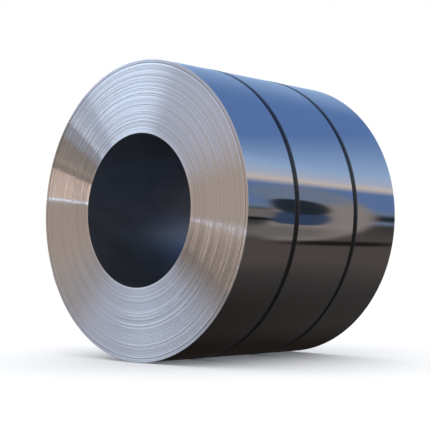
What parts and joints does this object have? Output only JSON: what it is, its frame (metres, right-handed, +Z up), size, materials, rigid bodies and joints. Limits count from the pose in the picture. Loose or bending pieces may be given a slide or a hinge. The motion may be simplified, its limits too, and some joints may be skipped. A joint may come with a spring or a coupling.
{
  "type": "steel coil",
  "caption": "Strapped coil of bright rolled steel strip lying on its side, with an open bore for a mandrel or lifting hook, stepped turns on its ends and crimped seals on its bands.",
  "frame": {"origin": "on the floor, below the middle of the coil's width and its axis", "axes": "+Y along the coil's axis from the front end to the rear end, +Z up, +X to the right seen from the front end"},
  "size_m": [1.1902, 0.9023, 1.1914],
  "materials": {
    "strip_steel": "bright rolled, mirror-like on the outer turn, finely lined on the ends",
    "strap_steel": "dark blued band with a soft sheen",
    "seal_steel": "dark blued, bright where it is crimped"
  },
  "bodies": {
    "root": {"coil": "strip_steel", "front_strap": "strap_steel", "rear_strap": "strap_steel", "front_seal": "seal_steel", "rear_seal": "seal_steel"}
  },
  "joints": []
}
